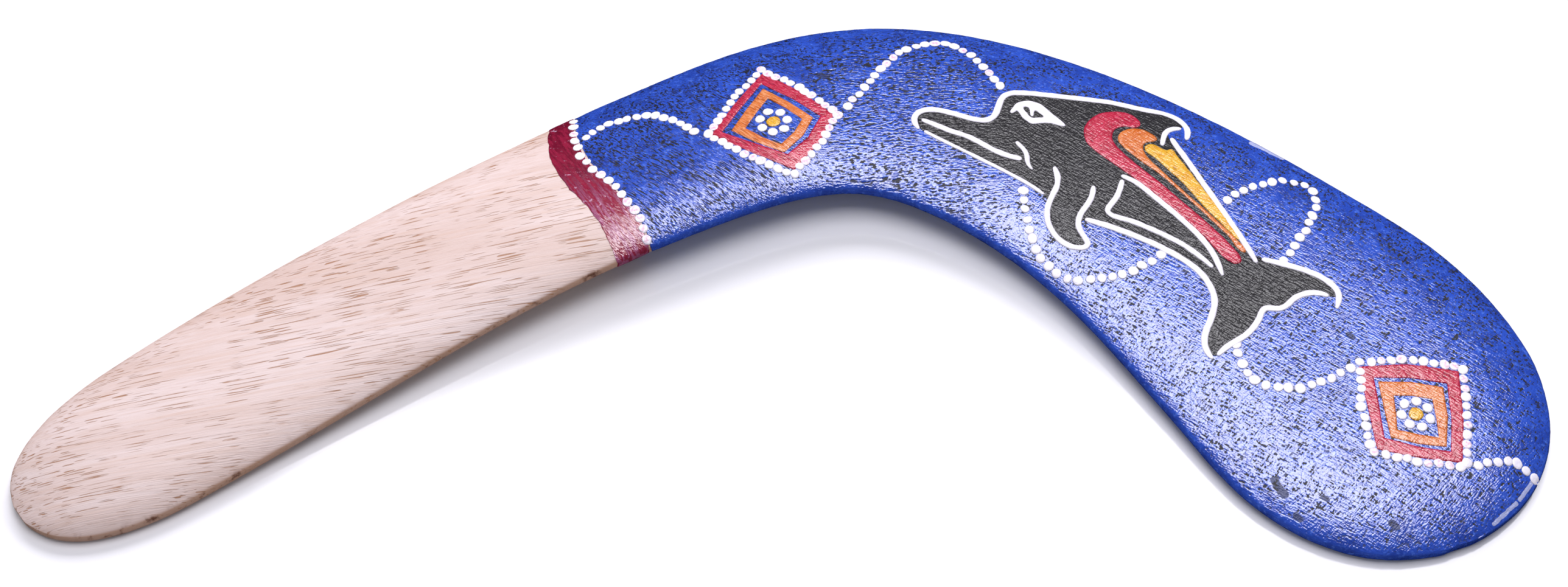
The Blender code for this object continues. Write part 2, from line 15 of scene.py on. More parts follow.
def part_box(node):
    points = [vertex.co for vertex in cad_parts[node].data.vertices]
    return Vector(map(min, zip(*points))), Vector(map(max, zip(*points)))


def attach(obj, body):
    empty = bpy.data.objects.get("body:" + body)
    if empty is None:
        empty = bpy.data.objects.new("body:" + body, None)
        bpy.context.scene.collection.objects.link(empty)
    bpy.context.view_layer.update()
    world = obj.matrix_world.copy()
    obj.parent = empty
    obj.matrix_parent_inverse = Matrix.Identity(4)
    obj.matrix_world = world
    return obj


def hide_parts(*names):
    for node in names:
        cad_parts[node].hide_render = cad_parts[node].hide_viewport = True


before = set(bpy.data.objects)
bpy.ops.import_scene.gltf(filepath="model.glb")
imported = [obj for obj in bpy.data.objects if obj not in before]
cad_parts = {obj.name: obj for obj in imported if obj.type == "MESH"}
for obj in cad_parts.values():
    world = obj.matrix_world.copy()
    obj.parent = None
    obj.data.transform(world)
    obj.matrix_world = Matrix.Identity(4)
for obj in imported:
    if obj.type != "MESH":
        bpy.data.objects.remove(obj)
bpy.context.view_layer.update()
print("frame loaded:", len(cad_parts), "nodes")

mm = 0.001
mergeDistance = 0.001 * mm
flatEnough = {"angle_face_threshold": 0.6, "angle_shape_threshold": 1.6}    # for joining triangles
down = Vector((0, 0, -1))


def linear(hexColour):
    channels = [int(hexColour[i:i + 2], 16) / 255 for i in (1, 3, 5)]
    return (*[c / 12.92 if c <= 0.04045 else ((c + 0.055) / 1.055) ** 2.4 for c in channels], 1)


def nodeCopy(name):
    bm = bmesh.new()
    bm.from_mesh(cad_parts[name].data)
    bmesh.ops.remove_doubles(bm, verts=bm.verts[:], dist=mergeDistance)
    bmesh.ops.join_triangles(bm, faces=bm.faces[:], **flatEnough)
    bm.normal_update()
    return bm


def meshFrom(bm, name):
    mesh = bpy.data.meshes.new(name)
    bm.to_mesh(mesh)
    bm.free()
    for leftOver in ("custom_normal", "sharp_edge", "sharp_face"):
        if mesh.attributes.get(leftOver):
            mesh.attributes.remove(mesh.attributes[leftOver])
    mesh.shade_smooth()
    return mesh


def subdivided(bm, levels):
    # through a live Subdivision Surface, so that outlines come out as smooth curves
    helper = bpy.data.objects.new("helper", meshFrom(bm, "helper"))
    bpy.context.scene.collection.objects.link(helper)
    smooth = helper.modifiers.new("smooth", "SUBSURF")
    smooth.levels = smooth.render_levels = levels
    bpy.context.view_layer.update()
    finer = helper.evaluated_get(bpy.context.evaluated_depsgraph_get()).to_mesh()
    fine = bmesh.new()
    fine.from_mesh(finer)
    old = helper.data
    bpy.data.objects.remove(helper, do_unlink=True)
    bpy.data.meshes.remove(old)
    fine.normal_update()
    return fine


def pointTree(verts):
    tree = KDTree(len(verts))
    for i, vert in enumerate(verts):
        tree.insert(vert.co, i)
    tree.balance()
    return tree


def finishPiece(bm, name, material, nodes):
    mesh = meshFrom(bm, name)
    mesh.materials.append(material)
    piece = bpy.data.objects.new(name, mesh)
    bpy.context.scene.collection.objects.link(piece)
    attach(piece, "root")
    if nodes:
        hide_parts(*nodes)
    print("made", name, len(mesh.polygons), "faces")


def newMaterial(name):
    material = bpy.data.materials.new(name)
    material.use_nodes = True
    return material, material.node_tree.nodes["Principled BSDF"]


def addNode(material, kind, settings=None, inputs=None):
    # settings are the node's own properties; an input is a value, or an output to link from
    node = material.node_tree.nodes.new("ShaderNode" + kind)
    for key, value in (settings or {}).items():
        setattr(node, key, value)
    for key, value in (inputs or {}).items():
        if isinstance(value, bpy.types.NodeSocket):
            material.node_tree.links.new(value, node.inputs[key])
        else:
            node.inputs[key].default_value = value
    return node


# the surfaces that all the paint lies on
woodBody = {"smoothing": 2, "hollows": 0.12 * mm, "hollowLength": 22 * mm, "bareUpTo": -40 * mm,
            "bareFade": 30 * mm}
groundCoat = {
    "smoothing": 2,
    "sink": 0.38 * mm,        # the CAD films stand further off the wood than paint does
    "topCuts": 2,             # the painted top is cut this much finer again
    "ridges": 0.07 * mm,      # brush marks left in the thick ground
    "lumps": 0.075 * mm,
    "lumpSizes": (2.1 * mm, 5.5 * mm), "largeLumps": 0.6,
    "bladeLumps": 0.45,       # how lumpy the arms are beside the elbow
    "edgeFacing": -0.2,       # the top goes round its edges as far as faces that lean down this much
    "shellGap": 0.12 * mm,    # nearer the wood than this is the coat's inner side
}
crimsonBand = {"smoothing": 3, "sink": 0.33 * mm, "reach": 0.7 * mm, "relief": 0.5}
filmSides = (0.36 * mm, 0.54 * mm)        # how far a CAD film's two sides stand off the wood
brushedEdge = {"wobble": 0.55 * mm, "length": 2.6 * mm, "fine": 0.35, "fade": 4 * mm,
               "along": Vector((0.83, 0.56, 0))}
brushMarks = {
    # the ground was brushed slantwise by the band, then across the elbow, then along the blade
    "bandEnd": 20 * mm, "bladeStart": 75 * mm, "blend": 30 * mm,
    # turn in degrees, length, width and strength of the ridges: band, elbow, and two on the blade
    "strokes": ((-38, 9 * mm, 1.5 * mm, 1), (4, 5 * mm, 1.7 * mm, 1),
                (-34, 7 * mm, 1.6 * mm, 0.7), (48, 6 * mm, 1.6 * mm, 0.5)),
    # turn, length and width of the finer marks, which are left to the materials
    "bristles": ((-38, 2.8 * mm, 0.4 * mm), (4, 1.5 * mm, 0.58 * mm),
                 (-34, 2.0 * mm, 0.55 * mm), (48, 1.9 * mm, 0.5 * mm)),
    "crossing": 0.45,         # share of the second direction on the blade
}


def share(value, start, end):
    t = min(max((value - start) / (end - start), 0), 1)
    return t * t * (3 - 2 * t)


def streak(place, turn, length, width, seed):
    # noise drawn out along a direction
    turned = Matrix.Rotation(math.radians(-turn), 3, "Z") @ place
    return noise.noise(Vector((turned.x / length, turned.y / width, turned.z / width + seed)))


def groundRelief(place):
    band = 1 - share(place.x, brushMarks["bandEnd"] - brushMarks["blend"], brushMarks["bandEnd"])
    blade = share(place.x, brushMarks["bladeStart"] - brushMarks["blend"], brushMarks["bladeStart"])
    elbow = max(1 - band - blade, 0)
    ridges = 0
    for seed, (part, stroke) in enumerate(zip((band, elbow, blade, blade), brushMarks["strokes"]), 1):
        turn, length, width, strength = stroke
        ridges += part * strength * streak(place, turn, length, width, seed)
    small, large = groundCoat["lumpSizes"]
    lumps = noise.noise(place / small) + groundCoat["largeLumps"] * noise.noise(place / large)
    lumpy = groundCoat["bladeLumps"] + (1 - groundCoat["bladeLumps"]) * elbow
    return groundCoat["ridges"] * ridges + groundCoat["lumps"] * lumps * lumpy


def waver(place, length, fine):
    # a slow wobble with a smaller, finer one on it
    return noise.noise(place / length) + 0.5 * noise.noise(place / (fine * length))


def brushEdge(bm, bandTree):
    # both coats waver together where they meet, as a loaded brush leaves them
    for vert in bm.verts:
        near = 1 - share(bandTree.find(vert.co)[2], 0, brushedEdge["fade"])
        if near > 0:
            ragged = waver(vert.co, brushedEdge["length"], brushedEdge["fine"])
            vert.co += brushedEdge["along"] * brushedEdge["wobble"] * ragged * near


def settle(bm, woodTree, sink):
    # lowers a film onto the wood, and tells its outer side from its inner one
    outer = {}
    for vert in bm.verts:
        nearest, _, _, gap = woodTree.find_nearest(vert.co)
        outer[vert] = share(gap, *filmSides)
        vert.co -= (vert.co - nearest).normalized() * sink
    return outer


def makeWood():
    bm = subdivided(nodeCopy("wood_body"), woodBody["smoothing"])
    for vert in bm.verts:
        bare = 1 - share(vert.co.x, woodBody["bareUpTo"] - woodBody["bareFade"], woodBody["bareUpTo"])
        hollow = noise.noise(vert.co / woodBody["hollowLength"]) * bare
        vert.co += vert.normal * woodBody["hollows"] * hollow
    return bm


def makeCoat(woodTree, bandTree):
    bm = subdivided(nodeCopy("blue_ground_coat"), groundCoat["smoothing"])
    outer = settle(bm, woodTree, groundCoat["sink"])
    top = [face for face in bm.faces if face.normal.z > groundCoat["edgeFacing"]
           and min(outer[vert] for vert in face.verts) > 0.5]
    edges = list({edge: None for face in top for edge in face.edges})
    bmesh.ops.subdivide_edges(bm, edges=edges, cuts=groundCoat["topCuts"], use_grid_fill=True)
    bm.normal_update()
    brushEdge(bm, bandTree)
    for vert in bm.verts:
        _, towards, _, gap = woodTree.find_nearest(vert.co)
        if gap > groundCoat["shellGap"] and vert.normal.dot(towards) > 0:
            vert.co += vert.normal * groundRelief(vert.co)
    return bm


def makeBand(woodTree, bandTree):
    bm = subdivided(nodeCopy("crimson_band"), crimsonBand["smoothing"])
    settle(bm, woodTree, crimsonBand["sink"])
    along = brushedEdge["along"].normalized()
    low = min(vert.co.dot(along) for vert in bm.verts)
    high = max(vert.co.dot(along) for vert in bm.verts)
    for vert in bm.verts:
        vert.co += along * crimsonBand["reach"] * share(vert.co.dot(along), low, high)
    brushEdge(bm, bandTree)
    for vert in bm.verts:
        vert.co += vert.normal * crimsonBand["relief"] * groundRelief(vert.co)
    return bm


# films of paint laid on the ground
topFacing = 0.3             # how far up a face points to count as a film's top
filmKeel = 0.15 * mm        # how far a film reaches into the coat below it
fineWobble = 0.4
cutRounds = 7
relaxRounds = 3
dragLength = 1.1 * mm       # how long the unevenness is that a brush drags into a film


def spreadOut(bm, amount, wobble, length):
    # moves the outline out, unevenly
    outward = {}
    for edge in (edge for edge in bm.edges if edge.is_boundary):
        run = (edge.verts[1].co - edge.verts[0].co).normalized()
        out = Vector((run.y, -run.x, 0))
        if out.dot(edge.verts[0].co - edge.link_faces[0].calc_center_median()) < 0:
            out.negate()
        for vert in edge.verts:
            outward[vert] = outward.get(vert, Vector()) + out
    for vert, out in outward.items():
        vert.co += out.normalized() * (amount + wobble * waver(vert.co, length, fineWobble))


def refine(bm, step):
    bmesh.ops.triangulate(bm, faces=bm.faces[:])
    for _ in range(cutRounds):
        long = [edge for edge in bm.edges if edge.calc_length() > step]
        if not long:
            break
        bmesh.ops.subdivide_edges(bm, edges=long, cuts=1)
        bmesh.ops.triangulate(bm, faces=[face for face in bm.faces if len(face.verts) > 3])
    inner = [vert for vert in bm.verts if not vert.is_boundary]
    for _ in range(relaxRounds):
        bmesh.ops.smooth_vert(bm, verts=inner, factor=0.5, use_axis_x=True, use_axis_y=True)


def layFilm(node, film):
    bm = nodeCopy(node)
    sides = [face for face in bm.faces if face.normal.z < topFacing]
    bmesh.ops.delete(bm, geom=sides, context="FACES")
    for vert in bm.verts:
        vert.co.z = 0
    bm = subdivided(bm, film["smoothing"])
    spreadOut(bm, film["spread"], film["wobble"], film["wobbleLength"])
    refine(bm, film["step"])
    edgeTree = pointTree([vert for vert in bm.verts if vert.is_boundary])
    made = bmesh.ops.extrude_face_region(bm, geom=bm.faces[:], use_keep_orig=True)
    above = {item for item in made["geom"] if isinstance(item, bmesh.types.BMVert)}
    for vert in bm.verts:
        rise = -filmKeel
        if vert in above:
            inset = min(edgeTree.find(vert.co)[2] / film["edge"], 1)
            drag = 1 + film["drag"] * noise.noise(vert.co / dragLength)
            rise = film["level"] + film["thickness"] * math.sqrt(inset * (2 - inset)) * drag
        vert.co.z = groundHeight(vert.co) + rise
    bmesh.ops.recalc_face_normals(bm, faces=bm.faces[:])
    return bm


dotShape = {
    "segments": 12, "rings": 6,
    # how much one dot from the end of a stick differs from the next, as shares of its radius
    "stretch": (0.94, 1.1), "pit": (0.78, 1.05), "lean": (-0.12, 0.12), "ragged": 0.11, "lobes": 1.3,
    "pitAbove": 0.95,        # how high on the dome the dent begins
}


def addDot(bm, centre, radius, height, chance, stained=False):
    stain = bm.verts.layers.float["stain"]
    made = bmesh.ops.create_uvsphere(
        bm, u_segments=dotShape["segments"], v_segments=dotShape["rings"], radius=1)
    turn = chance.uniform(0, math.tau)
    stretch = chance.uniform(*dotShape["stretch"])
    pit = chance.uniform(*dotShape["pit"])
    lean = Vector((chance.uniform(*dotShape["lean"]), chance.uniform(*dotShape["lean"]), 0))
    seed = chance.uniform(0, 100)
    for vert in made["verts"]:
        x, y, z = vert.co
        lobes = Vector((x * dotShape["lobes"], y * dotShape["lobes"], seed))
        ragged = 1 + dotShape["ragged"] * noise.noise(lobes)
        flat = Matrix.Rotation(turn, 3, "Z") @ Vector((x * stretch, y / stretch, 0))
        place = centre + (flat * ragged + lean * max(z, 0)) * radius
        if z > 0:
            rise = height * math.sqrt(z) * (pit if z > dotShape["pitAbove"] else 1)
            vert[stain] = z * z if stained else 0
        else:
            rise = filmKeel * z
        vert.co = (place.x, place.y, groundHeight(place) + rise)


def dotBmesh():
    bm = bmesh.new()
    bm.verts.layers.float.new("stain")
    return bm


def dotCentres(node):
    # the middle of each dot is the only vertex of a row's top that isn't on its edge
    bm = nodeCopy(node)
    bmesh.ops.delete(bm, geom=[f for f in bm.faces if f.normal.z < topFacing], context="FACES")
    centres = [vert.co.copy() for vert in bm.verts if not vert.is_boundary]
    bm.free()
    return centres


def layered(material, base, *coats):
    # colours laid over one another in turn, each where its amount is 1
    colour = linear(base)
    for amount, over in coats:
        mix = addNode(material, "Mix", {"data_type": "RGBA"}, {0: amount, 6: colour, 7: linear(over)})
        colour = mix.outputs[2]
    return colour


def overlap(material, *masks):
    # 1 only where every mask is 1
    both = masks[0]
    for mask in masks[1:]:
        both = addNode(material, "Math", {"operation": "MULTIPLY", "use_clamp": True},
                       {0: both, 1: mask}).outputs[0]
    return both


def wireUp(material, shader, wires):
    for socket, output in wires.items():
        material.node_tree.links.new(output, shader.inputs[socket])


def masksFrom(material, edges):
    # each mask eases from 0 to 1 while its value goes from the first number to the second
    masks = {}
    for name, (value, start, end) in edges.items():
        eased = addNode(material, "MapRange", {"interpolation_type": "SMOOTHSTEP"}, {
            "Value": value, "From Min": start, "From Max": end})
        masks[name] = eased.outputs["Result"]
    return masks


def brushHeight(material, place):
    # bristle marks in three directions, finer than the mesh, around a middle of 0.5
    split = addNode(material, "SeparateXYZ", inputs={"Vector": place})
    past = masksFrom(material, {
        edge: (split.outputs["X"], brushMarks[edge] - brushMarks["blend"], brushMarks[edge])
        for edge in ("bandEnd", "bladeStart")})
    marks = []
    for turn, length, width in brushMarks["bristles"]:
        turned = addNode(material, "Mapping", {"vector_type": "TEXTURE"}, {
            "Vector": place, "Rotation": (0, 0, math.radians(turn)), "Scale": (length, width, width)})
        marks.append(addNode(material, "TexNoise", {}, {
            "Vector": turned.outputs["Vector"], "Scale": 1, "Detail": 1, "Roughness": 0.5}).outputs["Fac"])
    nearBand, onElbow, alongBlade, acrossBlade = marks
    handleSide = addNode(material, "Mix", {}, {0: past["bandEnd"], 2: nearBand, 3: onElbow})
    bladeSide = addNode(material, "Mix", {}, {0: brushMarks["crossing"], 2: alongBlade, 3: acrossBlade})
    return addNode(material, "Mix", {}, {
        0: past["bladeStart"], 2: handleSide.outputs[0], 3: bladeSide.outputs[0]}).outputs[0]


def brushBump(material, place, height, depth):
    # the marks with a little grit on them, as a bump of this depth
    grit = addNode(material, "TexNoise", {}, {"Vector": place, "Scale": 1 / (0.4 * mm), "Detail": 2})
    both = addNode(material, "Math", {"operation": "MULTIPLY_ADD"},
                   {0: grit.outputs["Fac"], 1: 0.2, 2: height})
    bump = addNode(material, "Bump", {}, {"Height": both.outputs[0], "Distance": depth, "Strength": 1})
    return bump.outputs["Normal"]


def patches(material, place, size, start, end, detail=4):
    # 0 to 1 in soft-edged patches of about this size
    spots = addNode(material, "TexNoise", {}, {
        "Vector": place, "Scale": 1 / size, "Detail": detail, "Roughness": 0.6})
    return masksFrom(material, {"patch": (spots.outputs["Fac"], start, end)})["patch"]


clearVarnish = {"roughness": 0.08, "ior": 1.55}


def varnish(material, shader, normal, bare, build):
    # a clear gloss coat that follows the brush marks, and is missing where bare is 1
    shader.inputs["Coat Roughness"].default_value = clearVarnish["roughness"]
    shader.inputs["Coat IOR"].default_value = clearVarnish["ior"]
    cover = addNode(material, "MapRange", {"interpolation_type": "SMOOTHSTEP"}, {
        "Value": bare, "To Min": build, "To Max": 0})
    wireUp(material, shader, {
        "Coat Weight": cover.outputs["Result"], "Normal": normal, "Coat Normal": normal})


wearMarks = {
    # both ends and the reach of each mark in millimetres: rubbed pale, or down to the primer
    "pale": ((129.5, 43.4, 137.5, 38.8, 1.0), (193.0, -61.8, 188.0, -68.2, 0.6),
             (187.0, -69.2, 180.5, -75.0, 0.6)),
    "dark": ((9.8, 61.4, 11.4, 60.8, 1.3), (148.6, -21.6, 149.4, -22.4, 1.0),
             (137.2, -69.0, 138.0, -69.4, 0.9), (125.2, -63.6, 127.4, -67.6, 1.3),
             (130.0, -73.0, 131.2, -74.2, 0.9), (154.0, -76.0, 155.0, -77.0, 1.1),
             (1.8, 58.4, 2.4, 58.0, 0.6)),
    "cover": 0.75,
}


def wornAway(material, place, kind):
    # 1 inside the marks of this kind, with ragged edges
    flat = addNode(material, "VectorMath", {"operation": "MULTIPLY"}, {0: place, 1: (1, 1, 0)}).outputs[0]
    ragged = addNode(material, "TexNoise", {}, {"Vector": place, "Scale": 1 / (1.5 * mm), "Detail": 4})
    total = 0
    for x0, y0, x1, y1, reach in wearMarks[kind]:
        start = Vector((x0, y0, 0)) * mm
        run = Vector((x1 - x0, y1 - y0, 0)) * mm
        out = addNode(material, "VectorMath", {"operation": "SUBTRACT"}, {0: flat, 1: start})
        along = addNode(material, "VectorMath", {"operation": "DOT_PRODUCT"}, {
            0: out.outputs["Vector"], 1: run / run.length_squared})
        held = addNode(material, "Clamp", {}, {"Value": along.outputs["Value"]})
        foot = addNode(material, "VectorMath", {"operation": "SCALE"}, {
            0: run, "Scale": held.outputs["Result"]})
        away = addNode(material, "VectorMath", {"operation": "DISTANCE"}, {
            0: out.outputs["Vector"], 1: foot.outputs["Vector"]})
        mark = masksFrom(material, {kind: (away.outputs["Value"], 1.6 * reach * mm, 0.2 * reach * mm)})
        total = addNode(material, "Math", {"operation": "MAXIMUM"}, {0: total, 1: mark[kind]}).outputs[0]
    both = addNode(material, "Math", {"operation": "ADD"}, {0: total, 1: ragged.outputs["Fac"]})
    worn = addNode(material, "MapRange", {"interpolation_type": "SMOOTHSTEP"}, {
        "Value": both.outputs[0], "From Min": 1.0, "From Max": 1.12, "To Max": wearMarks["cover"]})
    return worn.outputs["Result"]


blueGround = {
    "colour": "#2f52bd", "deep": "#2643a4", "light": "#4a70d6", "primerAndHollowShade": "#0f111e", "rubbed": "#c3c9ea",
    "skipsAndHollowShade": (0.442, 0.418),      # how low a brush mark lies where the dark primer colour starts: gaps in the blue, and painted shade in the hollows
    "bumpDepth": 0.3 * mm, "gloss": 0.2, "primerRoughness": 0.6,
}


def varnishedAcrylic():
    # Acrylic brushed thickly over a dark primer, then varnished: the brush leaves ridges that
    # break up the sheen. Black flecks lie where the marks are low on the crown: partly the primer
    # showing where the blue left gaps, partly painted shade in the hollows.
    material, shader = newMaterial("varnished blue acrylic")
    coordinates = addNode(material, "TexCoord")
    place = coordinates.outputs["Object"]
    height = brushHeight(material, place)
    facing = addNode(material, "SeparateXYZ", inputs={"Vector": coordinates.outputs["Normal"]})
    # the edges carry one smooth coat, and the crown a rougher one
    masks = masksFrom(material, {
        "crown": (facing.outputs["Z"], 0.82, 0.96),
        "rear": (facing.outputs["Y"], 0.03, 0.16),
        "low": (height, *blueGround["skipsAndHollowShade"])})
    # black flecks on the crown's low points: the primer in gaps of the blue, and painted shade in the
    # hollows
    skipsAndHollowShade = overlap(material, masks["low"], patches(material, place, 11 * mm, 0.28, 0.45), masks["crown"])
    pits = overlap(material, patches(material, place, 0.8 * mm, 0.55, 0.58, 3),
                   patches(material, place, 8 * mm, 0.42, 0.53), masks["rear"])
    # bare holds those flecks with their painted shade, the rear pits and the dark wear marks
    bare = skipsAndHollowShade
    for more in (pits, wornAway(material, place, "dark")):
        bare = addNode(material, "Math", {"operation": "MAXIMUM"}, {0: bare, 1: more}).outputs[0]
    colour = layered(
        material, blueGround["colour"],
        (patches(material, place, 7 * mm, 0.4, 0.65), blueGround["deep"]),
        (patches(material, place, 1.3 * mm, 0.52, 0.72), blueGround["light"]),
        # the primer colour, which also stands as painted shade in the hollows
        (bare, blueGround["primerAndHollowShade"]),
        (wornAway(material, place, "pale"), blueGround["rubbed"]))
    rough = addNode(material, "MapRange", {"interpolation_type": "SMOOTHSTEP"}, {
        "Value": bare, "To Min": blueGround["gloss"], "To Max": blueGround["primerRoughness"]})
    wireUp(material, shader, {"Base Color": colour, "Roughness": rough.outputs["Result"]})
    varnish(material, shader, brushBump(material, place, height, blueGround["bumpDepth"]), bare, 1)
    return material


crimsonPaint = {
    "colour": "#8e1a3a", "deep": "#6c0f2a", "paleSpots": "#c09ab4", "paintedSheen": "#b3668f",
    "strokeTurn": -58, "stroke": (7 * mm, 0.8 * mm, 2 * mm), "sheenFrom": 32 * mm, "sheenTo": 10 * mm,
}


def crimsonAcrylic():
    # One thinly brushed coat: streaky, with pale violet spots in places, and a violet-pink painted
    # sheen on the streaks that grows towards the inner edge.
    material, shader = newMaterial("streaky crimson acrylic")
    place = addNode(material, "TexCoord").outputs["Object"]
    split = addNode(material, "SeparateXYZ", inputs={"Vector": place})
    across = addNode(material, "Mapping", {"vector_type": "TEXTURE"}, {
        "Vector": place, "Rotation": (0, 0, math.radians(crimsonPaint["strokeTurn"])),
        "Scale": crimsonPaint["stroke"]})
    streaks = addNode(material, "TexNoise", {}, {
        "Vector": across.outputs["Vector"], "Scale": 1, "Detail": 4}).outputs["Fac"]
    masks = masksFrom(material, {
        "deep": (streaks, 0.35, 0.65),
        "streaky": (streaks, 0.44, 0.56),
        "paintedSheen": (split.outputs["Y"], crimsonPaint["sheenFrom"], crimsonPaint["sheenTo"])})
    # pale violet spots in places, where the varnish is left off too
    paleSpots = overlap(material, patches(material, place, 1.7 * mm, 0.64, 0.66), 0.7)
    # violet-pink on the streaks towards the inner edge is a painted sheen
    colour = layered(
        material, crimsonPaint["colour"],
        (masks["deep"], crimsonPaint["deep"]),
        (overlap(material, masks["paintedSheen"], masks["streaky"], 0.6), crimsonPaint["paintedSheen"]),
        (paleSpots, crimsonPaint["paleSpots"]))
    shader.inputs["Roughness"].default_value = 0.3
    wireUp(material, shader, {"Base Color": colour})
    ridges = addNode(material, "Math", {"operation": "MULTIPLY_ADD"}, {
        0: streaks, 1: 0.9, 2: brushHeight(material, place)})
    varnish(material, shader, brushBump(material, place, ridges.outputs[0], 0.24 * mm), paleSpots, 1)
    return material


def colourAcrylic(name, base, deep, ridgeHighlight, hollowShade, roughness, build=0.6, depth=0.34 * mm):
    # a coloured coat that lies thinly on the ridges below it and follows them; it is painted paler on
    # their tops as a painted highlight, and darker in the hollows as painted shade
    material, shader = newMaterial(name)
    place = addNode(material, "TexCoord").outputs["Object"]
    height = brushHeight(material, place)
    masks = masksFrom(material, {"low": (height, 0.4, 0.33), "high": (height, 0.5, 0.66)})
    # paler where the marks stand high is painted highlight, darker where they lie low is painted shade
    colour = layered(
        material, base,
        (patches(material, place, 3 * mm, 0.4, 0.62), deep),
        (masks["high"], ridgeHighlight),
        (overlap(material, masks["low"], 0.7), hollowShade))
    shader.inputs["Roughness"].default_value = roughness
    wireUp(material, shader, {"Base Color": colour})
    bare = overlap(material, masks["low"], 0.9)
    varnish(material, shader, brushBump(material, place, height, depth), bare, build)
    return material


whitePaint = {"colour": "#ece8f2", "shade": "#ddd8e8", "bled": "#dc9db6"}


def thickWhiteAcrylic():
    # undiluted paint from a full brush: opaque, smooth, slightly violet, soft gloss
    material, shader = newMaterial("thick white acrylic")
    place = addNode(material, "TexCoord").outputs["Object"]
    stain = addNode(material, "Attribute", {"attribute_name": "stain"}).outputs["Fac"]
    colour = layered(
        material, whitePaint["colour"],
        (patches(material, place, 1.6 * mm, 0.45, 0.7), whitePaint["shade"]),
        (overlap(material, stain, patches(material, place, 0.8 * mm, 0.42, 0.6)), whitePaint["bled"]))
    shader.inputs["Roughness"].default_value = 0.36
    grit = addNode(material, "TexNoise", {}, {"Vector": place, "Scale": 1 / (0.5 * mm), "Detail": 2})
    bump = addNode(material, "Bump", {}, {
        "Height": grit.outputs["Fac"], "Distance": 0.08 * mm, "Strength": 1})
    wireUp(material, shader, {"Base Color": colour, "Normal": bump.outputs["Normal"]})
    return material


wood = {
    "colour": "#dac8c4", "dark": "#cfb8b0", "vein": "#cdaf9f", "fibre": "#b9957f", "vessel": "#a67c62",
    "edge": "#b3835f", "darkRimPatches": "#6e4029", "grainTurn": 12,
    # length and width in millimetres of what runs along the grain, and how rough each is
    "grain": {"bands": (130, 9, 2), "fibres": (14, 0.3, 4),
              "vessels": (11, 0.3, 0), "veins": (45, 1.3, 3)},
}


def bareWood():
    # A pale, open-pored tropical wood, sanded and waxed: long vessels show as brown dashes
    # along the grain, in bands, and faces that turn away from straight up are darker and more orange, with
    # dark brown patches.
    material, shader = newMaterial("sanded pale hardwood")
    coordinates = addNode(material, "TexCoord")
    place = coordinates.outputs["Object"]
    grain = {}
    for name, (length, width, detail) in wood["grain"].items():
        along = addNode(material, "Mapping", {"vector_type": "TEXTURE"}, {
            "Vector": place, "Rotation": (0, 0, math.radians(wood["grainTurn"])),
            "Scale": (length * mm, width * mm, width * 2.5 * mm)})
        noisy = addNode(material, "TexNoise", {}, {
            "Vector": along.outputs["Vector"], "Scale": 1, "Detail": detail, "Roughness": 0.55})
        grain[name] = noisy.outputs["Fac"]
    facing = addNode(material, "SeparateXYZ", inputs={"Vector": coordinates.outputs["Normal"]})
    masks = masksFrom(material, {
        "rim": (facing.outputs["Z"], 0.96, 0.4),
        "bands": (grain["bands"], 0.35, 0.65),
        "veins": (grain["veins"], 0.45, 0.75),
        "fibres": (grain["fibres"], 0.4, 0.7),
        "vessels": (grain["vessels"], 0.66, 0.7)})
    vessels = overlap(material, masks["vessels"], patches(material, place, 14 * mm, 0.36, 0.56))
    # dark brown patches on the faces that turn away from straight up
    darkRimPatches = overlap(material, masks["rim"], patches(material, place, 5 * mm, 0.55, 0.68))
    colour = layered(
        material, wood["colour"],
        (masks["bands"], wood["dark"]),
        (overlap(material, masks["veins"], 0.45), wood["vein"]),
        (overlap(material, masks["fibres"], 0.25), wood["fibre"]),
        (vessels, wood["vessel"]),
        # darker and more orange where faces turn away from straight up
        (overlap(material, masks["rim"], 0.75), wood["edge"]),
        (darkRimPatches, wood["darkRimPatches"]))
    shader.inputs["Roughness"].default_value = 0.55
    pores = addNode(material, "Math", {"operation": "MULTIPLY_ADD"}, {
        0: vessels, 1: -0.8, 2: grain["fibres"]})
    bump = addNode(material, "Bump", {}, {
        "Height": pores.outputs[0], "Distance": 0.12 * mm, "Strength": 1})
    wireUp(material, shader, {"Base Color": colour, "Normal": bump.outputs["Normal"]})
    return material


colourPaints = {
    # base, deep, ridge-highlight and hollow-shade colours (painted highlight and painted shade),
    # roughness, build of the varnish, depth of the brush marks
    "black": ("#120f16", "#0d0b11", "#1a1720", "#060508", 0.7, 0.7, 0.52 * mm),
    "red": ("#b41f3e", "#a31533", "#c6405c", "#5e1230", 0.3, 0.6),
    "orange": ("#cf7435", "#c4621f", "#dc9160", "#8a3f1a", 0.3, 0.6),
    "yellow": ("#dca62a", "#d2951c", "#e4bb4e", "#9a6a1c", 0.3, 0.6),
}

blueAcrylic = varnishedAcrylic()
crimson = crimsonAcrylic()
blackAcrylic, redAcrylic, orangeAcrylic, yellowAcrylic = (
    colourAcrylic(f"varnished {hue} acrylic", *paint) for hue, paint in colourPaints.items())
whiteAcrylic = thickWhiteAcrylic()
hardwood = bareWood()
print("finishes made")

# wood, ground coat and band
woodMesh = makeWood()
woodTree = BVHTree.FromBMesh(woodMesh)
bandNode = nodeCopy("crimson_band")
bandTree = pointTree(bandNode.verts)
bandNode.free()
coatMesh = makeCoat(woodTree, bandTree)
bandMesh = makeBand(woodTree, bandTree)
groundTrees = [woodTree, BVHTree.FromBMesh(coatMesh), BVHTree.FromBMesh(bandMesh)]
finishPiece(woodMesh, "carved_wood", hardwood, ["wood_body"])
finishPiece(coatMesh, "blue_ground", blueAcrylic, ["blue_ground_coat"])
finishPiece(bandMesh, "crimson_border", crimson, ["crimson_band"])


def groundHeight(place):
    # top of the highest coat at this place
    above = Vector((place.x, place.y, 0.1))
    hits = [tree.ray_cast(above, down)[0] for tree in groundTrees]
    heights = [hit.z for hit in hits if hit]
    return max(heights) if heights else groundTrees[1].find_nearest(place)[0].z


